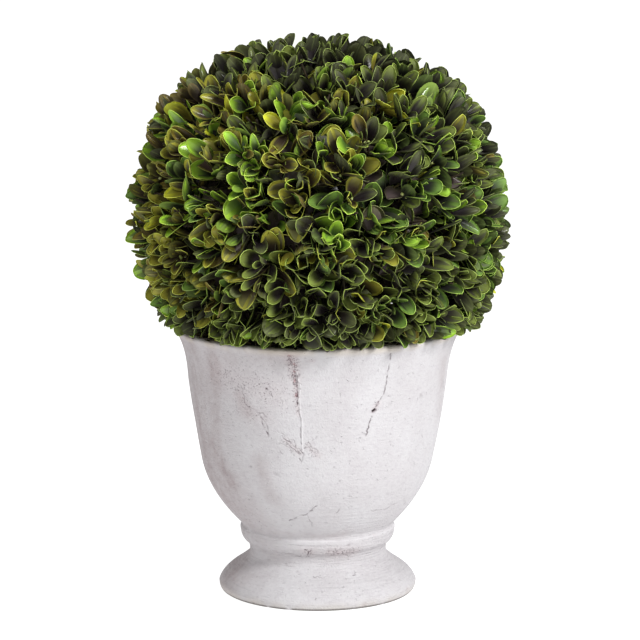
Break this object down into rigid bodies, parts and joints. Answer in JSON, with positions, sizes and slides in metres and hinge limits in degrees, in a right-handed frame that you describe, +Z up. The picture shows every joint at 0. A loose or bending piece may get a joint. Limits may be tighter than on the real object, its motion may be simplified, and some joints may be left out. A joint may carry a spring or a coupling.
{
  "type": "clipped box ball in a pedestal urn",
  "caption": "Box shrub clipped to a dense ball of small oval leaves, potted in a whitewashed clay pedestal urn with a flared lip, collar and round foot.",
  "frame": {"origin": "middle of the urn's flat underside, on the surface it stands on", "axes": "+Z up along the axis of the urn and stem; the side seen in the picture faces -Y, with +X to its right"},
  "size_m": [0.3032, 0.303, 0.4446],
  "materials": {
    "urn_clay": "matte",
    "soil": "matte",
    "bark": "matte",
    "foliage": "satin"
  },
  "bodies": {
    "root": {"urn": "urn_clay", "soil": "soil", "stem": "bark", "foliage_ball": "foliage"}
  },
  "joints": []
}
